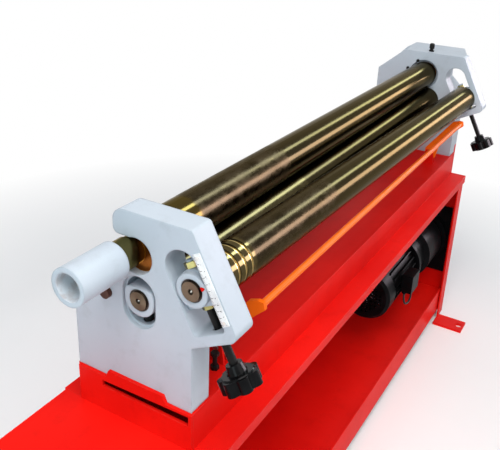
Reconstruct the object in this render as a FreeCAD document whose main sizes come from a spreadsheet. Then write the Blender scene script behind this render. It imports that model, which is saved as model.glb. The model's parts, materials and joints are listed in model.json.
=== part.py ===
"""Motor-driven three-roll sheet bending machine on its steel stand, as a parametric FreeCAD document.

X runs along the rolls, from the open near end (-X) to the drive end (+X). -Y is the operator's side,
where the bending roll, its star knobs and the trip bar are. Z is up, and Z = 0 is the floor.
X = 0 is halfway between the two end frames, and Y = 0 is the axis of the top roll. Millimetres.
"""
import FreeCAD
import Part
import Sketcher
import math
import os
import re
from FreeCAD import Placement, Rotation, Vector

SIZES = {
    # rolls
    "span": 1300,              # between the inner faces of the two end frames
    "roll_diameter": 75,       # top and pinch rolls
    "bending_roll_diameter": 70,
    "roll_end_gap": 2,         # between a roll's shoulder and the frame
    "axis_height": 805,        # top roll axis above the floor
    "journal_diameter": 44,    # top roll in its seats
    "collar_diameter": 48,
    "collar_length": 29,
    "lower_journal_diameter": 30,
    "pinch_y": -18,
    "pinch_drop": 75,          # pinch roll axis below the top roll axis
    "groove_radius": 3,
    "groove_pitch": 18,
    "groove_start": 24,        # first wire groove from the bending roll's near shoulder
    "centre_drill": 4,
    # end frames
    "frame_thickness": 45,
    "frame_rise": 66,          # top of the frames above the top roll axis
    "base_drop": 237,          # underside of the frames below the top roll axis
    "front_y": -113,
    "back_y": 110.5,
    "nose_n": 130,             # sloping front face, measured square to the slot from the top roll axis
    "nose_s": -160,            # underside of the nose, measured along the slot
    "corner_radius": 13,
    "small_corner_radius": 6,
    "hook_y": 26,
    "hook_radius": 20,
    "hook_lip_radius": 10,
    "mouth_up": 25,            # seat mouth above and below the top roll axis
    "mouth_down": 27,
    "mouth_floor_y": 25,       # from here the frame falls away towards its back
    "mouth_fall": 38,
    "seat_y": -15,
    "seat_drop": 2,
    "seat_radius": 29,
    "far_back_y": 142,
    "far_shoulder_y": 64,
    "far_waist_drop": 93,
    "far_seat_radius": 36,
    "far_counterbore": 12,     # round the end of the top roll's barrel
    "cup_y": -8,
    "cup_radius": 7.5,
    "cup_height": 24,
    "cup_spigot": 4,
    "tab_rise": 13,            # raised tab of the beam's end plate, and its long opening
    "tab_front_y": -63,
    "tab_back_y": 44,
    "opening_back_y": 57,
    "opening_drop": 21,
    "bolt_inset": 35,          # base bolts from the frame's front and back
    "bolt_radius": 8,
    "latch_y": 42,
    "latch_drop": 80,
    "latch_radius": 5,
    # slanted slots and bending roll
    "slot_angle": 62,
    "slot_n": 86,              # slot centreline, square to the slot from the top roll axis
    "slot_width": 57,
    "slot_top_s": -13.5,
    "slot_bottom_s": -143,
    "near_block_s": -76,       # bending roll axis in the near frame, along the slot
    "cone_setting": 30,        # how much further down the slot the far end of the bending roll is set
    "slide_gap": 0.3,
    "block_foot": 29,
    "block_recess": 10,        # depth of the slide's face inside the frame's outer face
    "boss_diameter": 53,
    "bush_wall": 3,
    "running_gap": 0.05,
    "push_gap": 0.08,          # nuts and pins that don't turn in their holes
    "screw_diameter": 13,
    "tilt_gap": 1.8,           # lets the near screw lean with the tilted bending roll
    "screw_length": 150,       # block centre to knob centre
    "stud_length": 13,
    "knob_diameter": 64,
    "knob_thickness": 26,
    "knob_lobes": 7,
    "hub_diameter": 27,
    "hub_length": 14,
    "nut_across": 19,
    "nut_height": 9,
    "jam_nut_height": 6,
    # pinch window
    "window_width": 54.6,
    "window_top_drop": 38,
    "window_bottom_drop": 119,
    "recess_width": 61,
    "recess_depth": 7,
    "block_head": 20,
    "block_corner": 12,
    "pinch_screw_diameter": 16,
    # handle tube
    "tube_diameter": 58,
    "tube_wall": 8,
    "tube_length": 88,
    "stub_length": 45,
    # scale
    "scale_width": 12,
    "scale_length": 108,
    "scale_thickness": 2,
    # stand
    "sheet": 4,
    "beam_front_y": -117,
    "beam_back_y": 112,
    "beam_wall": 6,
    "beam_height": 68,
    "ledge_front_y": -161,
    "ledge_back_y": 147,
    "stand_margin": 3,         # cabinet ends outside the frames
    "shelf_length": 227,
    "shelf_flange": 40,
    "post_width": 46,
    "tray_z": 89,
    "tray_lip": 18,
    "skirt_z": 27,
    "lug_width": 60,
    "lug_thickness": 8,
    "lug_hole": 20,
    "anchor_inset": 58,        # anchor holes from the cabinet ends
    "anchor_y": 230,
    # trip bar
    "bar_diameter": 12,
    "bar_y": -150,
    "bar_drop": 105,
    "arm_inset": 90,
    "arm_thickness": 8,
    "pivot_y": -75,
    "pivot_rise": 30,
    "pin_diameter": 10,
    "ear_thickness": 5,
    "ear_gap": 0.5,
    "stop_height": 26,
    # drive
    "drive_y": -40,
    "drive_z": 272,
    "drive_length": 476,       # from the fan cover to the outside of the far end panel
    "motor_diameter": 150,
    "motor_length": 236,
    "fan_length": 52,
    "fin_count": 24,
    "fin_height": 10,
    "fin_thickness": 3,
    "blade_count": 6,
    "blade_width": 20,
    "blade_thickness": 2,
    "blade_length": 48,
    "vent_diameter": 6.8,
    "vent_pitch": 12,
    "rotor_shaft": 18,
    "box_start": 94,           # terminal box from the fan cover
    "box_length": 58,
    "box_height": 54,
    "box_depth": 25,
    "lid_thickness": 6,
    "gland_diameter": 13,
    "gland_height": 8,
    "cable_diameter": 5.5,
    "cable_drop": 40,
    "flange_diameter": 196,
    "mount_width": 202,
    "mount_height": 228,
    "mount_thickness": 8,
    "shaft_diameter": 30,
    "wheel_bore": 24,
    "gear_gap": 7,
    "gear_width": 16,
    "gear_teeth": 13,
    "gear_root": 31,
    "gear_tip": 41.5,
    "gear_tooth": 10,
    "tang_width": 28,
    "tang_thickness": 14,
    "tang_play": 2.5,
    "sprocket_step": 24,
    "sprocket_width": 10,
    "sprocket_radius": 48,
    "cover_depth": 88,
    "cover_wall": 5,
    "cover_back_y": 73,
    "cover_front_y": -107,     # roof of the gear cover, at the frame and at its outer end
    "cover_end_y": -78,
    "cover_lip": 14,
    "guard_foot_z": 190,
}

DERIVED = {
    "inner_x": "span / 2",
    "outer_x": "span / 2 + frame_thickness",
    "mid_x": "span / 2 + frame_thickness / 2",
    "roll_radius": "roll_diameter / 2",
    "bending_radius": "bending_roll_diameter / 2",
    "journal_radius": "journal_diameter / 2",
    "lower_journal_radius": "lower_journal_diameter / 2",
    "pinch_z": "axis_height - pinch_drop",
    "base_z": "axis_height - base_drop",
    "ledge_z": "base_z - beam_height",
    "latch_z": "axis_height - latch_drop",
    "front_bolt_y": "front_y + bolt_inset",
    "back_bolt_y": "back_y - bolt_inset",
    "bar_z": "axis_height - bar_drop",
    "pivot_z": "base_z + pivot_rise",
    "far_waist_z": "axis_height - far_waist_drop",
    "stand_half": "outer_x + stand_margin",
    "shelf_end_x": "-(stand_half + shelf_length)",
    "anchor_x": "stand_half - anchor_inset",
    "arm_x": "inner_x - arm_inset",
    "motor_start_x": "stand_half - drive_length",
    "gear_x": "outer_x + gear_gap",
    "sprocket_x": "gear_x + sprocket_step",
    "frame_top": "axis_height + frame_rise",
    "bush_radius": "lower_journal_radius + bush_wall",
    "far_block_s": "near_block_s - cone_setting",
    "near_roll_y": "near_block_s * cos(slot_angle) - slot_n * sin(slot_angle)",
    "near_roll_z": "axis_height + near_block_s * sin(slot_angle) + slot_n * cos(slot_angle)",
    "far_roll_y": "far_block_s * cos(slot_angle) - slot_n * sin(slot_angle)",
    "far_roll_z": "axis_height + far_block_s * sin(slot_angle) + slot_n * cos(slot_angle)",
    "slot_radius": "slot_width / 2",
    "nose_y": "nose_s * cos(slot_angle) - nose_n * sin(slot_angle)",
    "nose_z": "axis_height + nose_s * sin(slot_angle) + nose_n * cos(slot_angle)",
    "under_nose_z": "nose_z - (front_y - nose_y) / tan(slot_angle)",
    "brow_s": "(frame_rise - nose_n * cos(slot_angle)) / sin(slot_angle)",
    "brow_y": "brow_s * cos(slot_angle) - nose_n * sin(slot_angle)",
    "mouth_top_z": "axis_height + mouth_up",
    "mouth_floor_z": "axis_height - mouth_down",
}

doc = FreeCAD.newDocument("SlipRoll")
dims = doc.addObject("Spreadsheet::Sheet", "dims")
for row, (alias, value) in enumerate(SIZES.items(), start=1):
    dims.set(f"A{row}", alias)
    dims.set(f"B{row}", str(value))
    dims.setAlias(f"B{row}", alias)
doc.recompute()

nodes = []


def linked(text):
    """The expression with each derived name written out and each size named in the sheet."""
    def swap(match):
        word = match.group(0)
        if word in DERIVED:
            return "(" + linked(DERIVED[word]) + ")"
        return "dims." + word if word in SIZES else word
    return re.sub(r"[a-z_]+[a-z_0-9]*", swap, str(text))


def number(text):
    return float(dims.evalExpression(linked(text).replace("dims.", "")))


def along_slot(s, n):
    """Y and Z of the point s along the slots and n square to them, from the top roll axis."""
    return (f"({s}) * cos(slot_angle) - ({n}) * sin(slot_angle)",
            f"axis_height + ({s}) * sin(slot_angle) + ({n}) * cos(slot_angle)")


def place(item, x="0", y="0", z="0", rotation=None):
    base = Vector(number(x), number(y), number(z))
    item.Placement = Placement(base, rotation or Rotation())
    for axis, text in zip("xyz", (x, y, z)):
        item.setExpression(f"Placement.Base.{axis}", linked(text))
    return item


def keep(item, name):
    item.Label = name
    nodes.append(item)
    return item


def new_body(name, x="0", y="0", z="0", rotation=None):
    return place(doc.addObject("PartDesign::Body", name), x, y, z, rotation)


def new_sketch(body, role, lift="0"):
    """An empty sketch on one of the body's origin planes, lifted along the plane's normal."""
    sketch = body.newObject("Sketcher::SketchObject", "outline")
    plane = next(item for item in body.Origin.OriginFeatures if item.Role == role)
    sketch.AttachmentSupport = [(plane, "")]
    sketch.MapMode = "FlatFace"
    sketch.AttachmentOffset = Placement(Vector(0, 0, number(lift)), Rotation())
    sketch.setExpression("AttachmentOffset.Base.z", linked(lift))
    return sketch


def pin_point(sketch, curve, end, point):
    for kind, text in zip(("DistanceX", "DistanceY"), point):
        which = sketch.addConstraint(Sketcher.Constraint(kind, -1, 1, curve, end, number(text)))
        sketch.setExpression(f"Constraints[{which}]", linked(text))


def draw_outline(sketch, points):
    """A closed outline of straight lines whose corners are all bound to the sheet."""
    spots = [Vector(number(a), number(b), 0) for a, b in points]
    count = len(spots)
    first = sketch.GeometryCount
    for index, spot in enumerate(spots):
        sketch.addGeometry(Part.LineSegment(spot, spots[(index + 1) % count]), False)
    for index, point in enumerate(points):
        after = first + (index + 1) % count
        sketch.addConstraint(Sketcher.Constraint("Coincident", first + index, 2, after, 1))
        pin_point(sketch, first + index, 1, point)


def draw_circle(sketch, centre, radius):
    spot = Vector(number(centre[0]), number(centre[1]), 0)
    curve = sketch.addGeometry(Part.Circle(spot, Vector(0, 0, 1), number(radius)), False)
    pin_point(sketch, curve, 3, centre)
    which = sketch.addConstraint(Sketcher.Constraint("Radius", curve, number(radius)))
    sketch.setExpression(f"Constraints[{which}]", linked(radius))


def extrude(body, sketch, length):
    pad = body.newObject("PartDesign::Pad", "pad")
    pad.Profile = sketch
    pad.setExpression("Length", linked(length))
    return pad


def cut_out(body, sketch, length):
    """A pocket along the plane's normal, in the direction of the pads."""
    before = solid_volume(body)
    pocket = body.newObject("PartDesign::Pocket", "pocket")
    pocket.Profile = sketch
    pocket.Reversed = True
    pocket.setExpression("Length", linked(length))
    if solid_volume(body) >= before - 1e-6:
        raise RuntimeError(f"{body.Label}: a pocket cuts nothing")
    return pocket


def solid_volume(body):
    doc.recompute()
    return body.Shape.Volume


def round_corners(body, radius, corners):
    """Fillets on the edges along X that pass through the given Y, Z corners."""
    doc.recompute()
    spots = [Vector(0, number(y), number(z)) for y, z in corners]
    base = body.Tip
    names = []
    for index, edge in enumerate(base.Shape.Edges, start=1):
        start, end = edge.Vertexes[0].Point, edge.Vertexes[-1].Point
        lies_along = abs(start.y - end.y) + abs(start.z - end.z) < 1e-6 and abs(start.x - end.x) > 1
        if lies_along and any(abs(start.y - p.y) + abs(start.z - p.z) < 0.02 for p in spots):
            names.append(f"Edge{index}")
    fillet = body.newObject("PartDesign::Fillet", "fillet")
    fillet.Base = (base, names)
    fillet.setExpression("Radius", linked(radius))
    return fillet


def plate(name, points, x, thickness, circles=()):
    """A flat piece that lies across X, from x to x + thickness, with round holes."""
    body = new_body(name, x=x)
    sketch = new_sketch(body, "YZ_Plane")
    draw_outline(sketch, points)
    extrude(body, sketch, thickness)
    for centre, radius in circles:
        hole = new_sketch(body, "YZ_Plane")
        draw_circle(hole, centre, radius)
        cut_out(body, hole, thickness)
    return body


def turned(name, profile, x="0", y="0", z="0", rotation=None):
    """A piece turned about its own X axis: its profile is a list of places along the axis and radii."""
    body = new_body(name, x, y, z, rotation)
    sketch = new_sketch(body, "XZ_Plane")
    draw_outline(sketch, profile)
    turn = body.newObject("PartDesign::Revolution", "turn")
    turn.Profile = sketch
    turn.ReferenceAxis = (sketch, ["H_Axis"])
    turn.Angle = 360
    return body


def block(name, low, high):
    """A rectangular piece between two corners."""
    item = place(doc.addObject("Part::Box", name), *low)
    for prop, start, end in zip(("Length", "Width", "Height"), low, high):
        item.setExpression(prop, linked(f"({end}) - ({start})"))
    return item


def rod(name, radius, length, start, direction):
    """A round bar or, as a tool, a drill, from a start point along a direction."""
    item = doc.addObject("Part::Cylinder", name)
    item.setExpression("Radius", linked(radius))
    item.setExpression("Height", linked(length))
    return place(item, *start, Rotation(Vector(0, 0, 1), direction))


def hexagon(name, across, height, start, direction):
    item = doc.addObject("Part::Prism", name)
    item.Polygon = 6
    item.setExpression("Circumradius", linked(f"({across}) / sqrt(3)"))
    item.setExpression("Height", linked(height))
    return place(item, *start, Rotation(Vector(0, 0, 1), direction))


def group(name, items):
    """Separate solids that share one node."""
    item = doc.addObject("Part::Compound", name)
    item.Links = items
    return item


def cut(name, base, tools):
    item = doc.addObject("Part::Cut", name)
    item.Base = base
    item.Tool = tools[0] if len(tools) == 1 else group(name + "_tools", tools)
    return item


def fuse(name, items):
    item = doc.addObject("Part::MultiFuse", name)
    item.Shapes = items
    return item


ALONG_X = Vector(1, 0, 0)
ALONG_Y = Vector(0, 1, 0)
UP = Vector(0, 0, 1)
DOWN = Vector(0, 0, -1)
SLOT_TURN = Rotation(ALONG_X, number("slot_angle"))
SLOT_UP = SLOT_TURN.multVec(ALONG_Y)
SLOT_DOWN = SLOT_UP.negative()
ROLL_START = Vector(-number("mid_x"), number("near_roll_y"), number("near_roll_z"))
ROLL_END = Vector(number("mid_x"), number("far_roll_y"), number("far_roll_z"))
ROLL_TURN = Rotation(ALONG_X, ROLL_END - ROLL_START)


def cut_slot(body):
    """The slanted slot: square at its foot, round at its head."""
    half = "slot_radius"
    head = "slot_top_s - slot_radius"
    straight = new_sketch(body, "YZ_Plane")
    draw_outline(straight, [along_slot("slot_bottom_s", f"slot_n - {half}"),
                            along_slot("slot_bottom_s", f"slot_n + {half}"),
                            along_slot(head, f"slot_n + {half}"),
                            along_slot(head, f"slot_n - {half}")])
    cut_out(body, straight, "frame_thickness")
    arch = new_sketch(body, "YZ_Plane")
    draw_circle(arch, along_slot(head, "slot_n"), half)
    cut_out(body, arch, "frame_thickness")


def cut_round_ended(body, low, high, half, lift, depth):
    """An upright opening with a round head and foot, centred on the pinch roll."""
    foot, head = f"{low} + {half}", f"{high} - ({half})"
    straight = new_sketch(body, "YZ_Plane", lift)
    draw_outline(straight, [(f"pinch_y - {half}", foot), (f"pinch_y + {half}", foot),
                            (f"pinch_y + {half}", head), (f"pinch_y - {half}", head)])
    cut_out(body, straight, depth)
    for height in (foot, head):
        arch = new_sketch(body, "YZ_Plane", lift)
        draw_circle(arch, ("pinch_y", height), half)
        cut_out(body, arch, depth)


def cut_pinch_window(body, recess_lift):
    """The window of the pinch block and the shallow recess round it."""
    low = "axis_height - window_bottom_drop"
    high = "axis_height - window_top_drop"
    margin = "(recess_width - window_width) / 2"
    cut_round_ended(body, low, high, "window_width / 2", "0", "frame_thickness")
    cut_round_ended(body, f"{low} - {margin}", f"{high} + {margin}", "recess_width / 2", recess_lift,
                    "recess_depth")


def frame_drills(side, x, screw_gap):
    """Tools for the holes of one frame: adjusting screw, pinch screw and the two base bolts."""
    middle = along_slot("nose_s - 5", "slot_n")
    return [rod(f"{side}_screw_drill", f"screw_diameter / 2 + {screw_gap}", "slot_bottom_s - nose_s + 10",
                (x, *middle), SLOT_UP),
            rod(f"{side}_pinch_drill", "pinch_screw_diameter / 2 + running_gap",
                "pinch_drop + 60", (x, "pinch_y", "base_z - 5"), UP),
            rod(f"{side}_front_drill", "bolt_radius + 1", "45", (x, "front_bolt_y", "base_z - 5"), UP),
            rod(f"{side}_back_drill", "bolt_radius + 1", "45", (x, "back_bolt_y", "base_z - 5"), UP)]


def near_end_frame():
    body = new_body("near_frame_casting", x="-outer_x")
    sketch = new_sketch(body, "YZ_Plane")
    draw_outline(sketch, [("front_y", "base_z"), ("back_y", "base_z"),
                          ("back_y", "mouth_floor_z - mouth_fall"), ("mouth_floor_y", "mouth_floor_z"),
                          ("seat_y", "mouth_floor_z"), ("seat_y", "mouth_top_z"), ("hook_y", "mouth_top_z"),
                          ("hook_y", "frame_top"), ("brow_y", "frame_top"), ("nose_y", "nose_z"),
                          ("front_y", "under_nose_z")])
    extrude(body, sketch, "frame_thickness")
    seat = new_sketch(body, "YZ_Plane")
    draw_circle(seat, ("seat_y", "axis_height - seat_drop"), "seat_radius")
    cut_out(body, seat, "frame_thickness")
    cut_slot(body)
    cut_pinch_window(body, "0")
    round_corners(body, "corner_radius", [("nose_y", "nose_z")])
    round_corners(body, "hook_radius", [("hook_y", "frame_top")])
    round_corners(body, "hook_lip_radius", [("hook_y", "mouth_top_z")])
    round_corners(body, "small_corner_radius", [along_slot("slot_bottom_s", "slot_n + slot_radius"),
                                                along_slot("slot_bottom_s", "slot_n - slot_radius"),
                                                ("brow_y", "frame_top")])
    tools = frame_drills("near", "-mid_x", "tilt_gap")
    tools.append(rod("latch_drill", "latch_radius + running_gap", "20",
                     ("-outer_x - 1", "latch_y", "latch_z"), ALONG_X))
    keep(cut("near_end_frame", body, tools), "near_end_frame")


def far_end_frame():
    body = new_body("far_frame_casting", x="inner_x")
    sketch = new_sketch(body, "YZ_Plane")
    draw_outline(sketch, [("front_y", "base_z"), ("back_y", "base_z"), ("back_y", "far_waist_z - 30"),
                          ("far_back_y", "far_waist_z"), ("far_back_y", "axis_height"),
                          ("far_shoulder_y", "frame_top"), ("brow_y", "frame_top"), ("nose_y", "nose_z"),
                          ("front_y", "under_nose_z")])
    extrude(body, sketch, "frame_thickness")
    for radius, depth in (("journal_radius + 6", "frame_thickness"), ("roll_radius + 5", "far_counterbore")):
        seat = new_sketch(body, "YZ_Plane")
        draw_circle(seat, ("0", "axis_height"), radius)
        cut_out(body, seat, depth)
    cut_slot(body)
    cut_pinch_window(body, "frame_thickness - recess_depth")
    round_corners(body, "corner_radius", [("nose_y", "nose_z")])
    round_corners(body, "small_corner_radius", [along_slot("slot_bottom_s", "slot_n + slot_radius"),
                                                along_slot("slot_bottom_s", "slot_n - slot_radius"),
                                                ("brow_y", "frame_top"), ("far_shoulder_y", "frame_top")])
    ball = place(doc.addObject("Part::Sphere", "far_seat_ball"), "mid_x", "0", "axis_height",
                 Rotation(UP, ALONG_X))
    ball.setExpression("Radius", linked("far_seat_radius + running_gap"))
    tools = frame_drills("far", "mid_x", "running_gap")
    tools.append(ball)
    tools.append(rod("oil_drill", "cup_spigot + running_gap", "frame_rise",
                     ("mid_x", "cup_y", "axis_height + 30"), UP))
    keep(cut("far_end_frame", body, tools), "far_end_frame")


def seat_saddle():
    """Bronze half shell that fills the seat in front of the journal and leaves it free towards +Y."""
    body = new_body("saddle_ring", x="-outer_x + 12")
    sketch = new_sketch(body, "YZ_Plane")
    draw_circle(sketch, ("seat_y", "axis_height - seat_drop"), "seat_radius - 0.02")
    extrude(body, sketch, "frame_thickness - 12")
    bore = new_sketch(body, "YZ_Plane")
    draw_circle(bore, ("0", "axis_height"), "journal_radius + running_gap")
    cut_out(body, bore, "frame_thickness - 12")
    mouth = block("saddle_mouth", ("-outer_x", "0", "axis_height - 60"),
                  ("-inner_x", "60", "axis_height + 60"))
    keep(cut("seat_saddle", body, [mouth]), "seat_saddle")


def top_roll():
    """Barrel, two journals, near collar and stub, and the drive tang at the far end."""
    shoulder = "inner_x - roll_end_gap"
    collar_face = "outer_x + 1"
    stub_face = "outer_x + 1 + collar_length"
    bore = "tube_diameter / 2 - tube_wall"
    body = turned("top_roll_turned", [
        (f"-({stub_face}) - stub_length", "0"), (f"-({stub_face}) - stub_length", bore),
        (f"-({stub_face})", bore), (f"-({stub_face})", "collar_diameter / 2"),
        (f"-({collar_face})", "collar_diameter / 2"), (f"-({collar_face})", "journal_radius"),
        (f"-({shoulder})", "journal_radius"), (f"-({shoulder})", "roll_radius"),
        (shoulder, "roll_radius"), (shoulder, "journal_radius"),
        ("outer_x + 1", "journal_radius"), ("outer_x + 1", "0")], z="axis_height")
    tang = block("top_roll_tang", ("outer_x", "-tang_thickness / 2", "axis_height - tang_width / 2"),
                 ("gear_x + gear_width - 3", "tang_thickness / 2", "axis_height + tang_width / 2"))
    keep(fuse("top_roll", [body, tang]), "top_roll")
    end = f"-({stub_face}) - tube_length"
    keep(turned("handle_tube", [(f"-({stub_face})", f"{bore} + running_gap"),
                                (f"-({stub_face})", "tube_diameter / 2"),
                                (end, "tube_diameter / 2"), (end, f"{bore} + running_gap")], z="axis_height"),
         "handle_tube")


def top_roll_bush():
    """Self-aligning bush: a ball in the far frame's seat, which lets the near end swing out."""
    half, bore = "frame_thickness / 2 - 1", "journal_radius + running_gap"
    body = turned("bush_sleeve", [(f"-({half})", bore), (f"-({half})", "far_seat_radius + 2"),
                                  (half, "far_seat_radius + 2"), (half, bore)], x="mid_x", z="axis_height")
    ball = place(doc.addObject("Part::Sphere", "bush_ball"), "mid_x", "0", "axis_height",
                 Rotation(UP, ALONG_X))
    ball.setExpression("Radius", linked("far_seat_radius"))
    item = doc.addObject("Part::Common", "top_roll_bush")
    item.Base = body
    item.Tool = ball
    keep(item, "top_roll_bush")


def pinch_roll():
    shoulder = "inner_x - roll_end_gap"
    tip = "outer_x + 2"
    drive = "sprocket_x + sprocket_width + 12"
    keep(turned("pinch_roll", [
        (f"-({tip}) + centre_drill", "0"), (f"-({tip})", "centre_drill"),
        (f"-({tip})", "lower_journal_radius"), (f"-({shoulder})", "lower_journal_radius"),
        (f"-({shoulder})", "roll_radius"), (shoulder, "roll_radius"),
        (shoulder, "lower_journal_radius"), ("gear_x", "lower_journal_radius"),
        ("gear_x", "wheel_bore / 2"), (drive, "wheel_bore / 2"), (drive, "0")],
        y="pinch_y", z="pinch_z"), "pinch_roll")


def pinch_blocks():
    """D-shaped blocks with a flat head, which slide up and down in the windows, and their bushes."""
    for side, x in (("near", "-outer_x + 1"), ("far", "inner_x + 1")):
        half = "window_width / 2 - slide_gap"
        depth = "frame_thickness - 2"
        foot = [(f"pinch_y + {half}", f"pinch_z - ({half})"), (f"pinch_y - ({half})", f"pinch_z - ({half})")]
        head = [(f"pinch_y - ({half})", "pinch_z + block_head"),
                (f"pinch_y + {half}", "pinch_z + block_head")]
        body = plate(f"pinch_block_{side}_body", foot + head, x, depth)
        round_corners(body, f"{half} - 0.5", foot)
        round_corners(body, "block_corner", head)
        bore = rod(f"pinch_bore_{side}", "bush_radius", "frame_thickness + 10",
                   (f"{x} - 5", "pinch_y", "pinch_z"),
                   ALONG_X)
        keep(cut(f"pinch_block_{side}", body, [bore]), f"pinch_block_{side}")
        keep(turned(f"pinch_bush_{side}", [("0", "lower_journal_radius + running_gap"), ("0", "bush_radius"),
                                           (depth, "bush_radius"),
                                           (depth, "lower_journal_radius + running_gap")],
                    x=x, y="pinch_y", z="pinch_z"), f"pinch_bush_{side}")


def pinch_screws():
    """Screws under the pinch blocks: their heads are below the frames, inside the beam."""
    for side, x in (("near", "-mid_x"), ("far", "mid_x")):
        foot = "base_z - beam_wall - 14"
        top = "pinch_z - window_width / 2 + slide_gap - 0.3"
        shank = rod(f"pinch_shank_{side}", "pinch_screw_diameter / 2", f"{top} - ({foot})",
                    (x, "pinch_y", foot), UP)
        head = hexagon(f"pinch_head_{side}", "24", "10", (x, "pinch_y", foot), UP)
        keep(fuse(f"pinch_screw_{side}", [shank, head]), f"pinch_screw_{side}")


def bending_roll():
    """Barrel with three wire grooves at its near end, journals with centre drillings."""
    half = (ROLL_END - ROLL_START).Length / 2
    reach = f"{half} - frame_thickness / 2"
    shoulder = f"{reach} - roll_end_gap - 1"
    tip = f"{half} + frame_thickness / 2 + 2"
    profile = [(f"-({tip}) + centre_drill", "0"), (f"-({tip})", "centre_drill"),
               (f"-({tip})", "lower_journal_radius"), (f"-({shoulder})", "lower_journal_radius"),
               (f"-({shoulder})", "bending_radius")]
    for index in range(3):
        groove = f"-({shoulder}) + groove_start + {index} * groove_pitch"
        floor = "bending_radius - groove_radius"
        profile += [(f"{groove} - groove_radius", "bending_radius"), (f"{groove} - groove_radius / 2", floor),
                    (f"{groove} + groove_radius / 2", floor), (f"{groove} + groove_radius", "bending_radius")]
    profile += [(shoulder, "bending_radius"), (shoulder, "lower_journal_radius"),
                (tip, "lower_journal_radius"),
                (tip, "centre_drill"), (f"{tip} - centre_drill", "0")]
    keep(turned("bending_roll", profile, y="(near_roll_y + far_roll_y) / 2",
                z="(near_roll_z + far_roll_z) / 2", rotation=ROLL_TURN), "bending_roll")


def bending_block(side, x, s, outward):
    """Slide with a round head and a square foot, a round boss outside and a tilted bore."""
    depth = "frame_thickness - 2"
    inner = f"{x} - frame_thickness / 2 + 1"
    half = "slot_radius - slide_gap"
    y, z = along_slot(s, "slot_n")
    foot = [along_slot(f"{s} - block_foot", f"slot_n {side_of} ({half})") for side_of in "-+"]
    head = [along_slot(f"{s} + {half}", f"slot_n {side_of} ({half})") for side_of in "+-"]
    body = plate(f"bending_block_{side}_body", foot + head, inner, depth)
    round_corners(body, f"{half} - 0.5", head)
    step = "block_recess"
    face = f"{x} + {outward} * (frame_thickness / 2 - 1) - {'0' if outward < 0 else step}"
    shell = turned(f"block_step_{side}", [("0", "boss_diameter / 2"), ("0", "60"), (step, "60"),
                                          (step, "boss_diameter / 2")], x=face, y=y, z=z)
    centre = Vector(number(x), number(y), number(z))
    bore = doc.addObject("Part::Cylinder", f"block_bore_{side}")
    bore.setExpression("Radius", linked("bush_radius"))
    bore.setExpression("Height", linked("2 * frame_thickness"))
    bore.Placement = Placement(centre - ROLL_TURN.multVec(ALONG_X) * number("frame_thickness"),
                               Rotation(UP, ROLL_TURN.multVec(ALONG_X)))
    return body, shell, bore, centre


def bending_blocks():
    for side, x, s, outward in (("near", "-mid_x", "near_block_s", -1), ("far", "mid_x", "far_block_s", 1)):
        body, shell, bore, centre = bending_block(side, x, s, outward)
        tools = [shell, bore]
        if side == "far":
            ball = doc.addObject("Part::Sphere", "far_block_ball")
            ball.setExpression("Radius", linked("bush_radius + 2 + running_gap"))
            ball.Placement = Placement(centre, Rotation(UP, ALONG_X))
            tools = [shell, ball, rod("far_block_mouth", "lower_journal_radius + 2", "frame_thickness + 10",
                                      (f"{x} - frame_thickness / 2 - 5", *along_slot(s, "slot_n")), ALONG_X)]
        stud = rod(f"stud_{side}", "screw_diameter / 2", "stud_length",
                   (x, *along_slot(f"{s} + slot_radius - slide_gap - 1", "slot_n")), SLOT_UP)
        trimmed = cut(f"bending_block_{side}_bored", body, tools)
        keep(fuse(f"bending_block_{side}", [trimmed, stud]), f"bending_block_{side}")
        upper = hexagon(f"upper_nut_{side}", "nut_across", "nut_height",
                        (x, *along_slot(f"{s} + slot_radius - slide_gap", "slot_n")), SLOT_UP)
        bored = rod(f"upper_nut_bore_{side}", "screw_diameter / 2 + push_gap", "stud_length",
                    (x, *along_slot(f"{s} + slot_radius - slide_gap", "slot_n")), SLOT_UP)
        stud_nut = cut(f"stud_nut_{side}", upper, [bored])
        lower = hexagon(f"lower_nut_{side}", "nut_across", "jam_nut_height",
                        (x, *along_slot(f"{s} - block_foot - jam_nut_height - 0.3", "slot_n")), SLOT_UP)
        bored = rod(f"lower_nut_bore_{side}", "screw_diameter / 2 + running_gap", "jam_nut_height",
                    (x, *along_slot(f"{s} - block_foot - jam_nut_height - 0.3", "slot_n")), SLOT_UP)
        screw_nut = cut(f"screw_nut_{side}", lower, [bored])
        keep(group(f"block_nuts_{side}", [stud_nut, screw_nut]), f"block_nuts_{side}")
        bush_turn(side, centre)


def bush_turn(side, centre):
    """Bronze bush along the tilted roll axis: plain in the near block, a ball in the far one."""
    half = "frame_thickness / 2 - 2"
    if side == "near":
        body = turned("bending_bush_near", [(f"-({half})", "lower_journal_radius + running_gap"),
                                            (f"-({half})", "bush_radius"), (half, "bush_radius"),
                                            (half, "lower_journal_radius + running_gap")],
                      x="-mid_x", y="near_roll_y", z="near_roll_z", rotation=ROLL_TURN)
        keep(body, "bending_bush_near")
        return
    sleeve = turned("far_bush_sleeve", [("-10", "lower_journal_radius + running_gap"),
                                        ("-10", "bush_radius + 4"),
                                        ("10", "bush_radius + 4"),
                                        ("10", "lower_journal_radius + running_gap")],
                    x="mid_x", y="far_roll_y", z="far_roll_z", rotation=ROLL_TURN)
    ball = doc.addObject("Part::Sphere", "far_bush_ball")
    ball.setExpression("Radius", linked("bush_radius + 2"))
    ball.Placement = Placement(centre, Rotation(UP, ROLL_TURN.multVec(ALONG_X)))
    item = doc.addObject("Part::Common", "bending_bush_far")
    item.Base = sleeve
    item.Tool = ball
    keep(item, "bending_bush_far")


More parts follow.
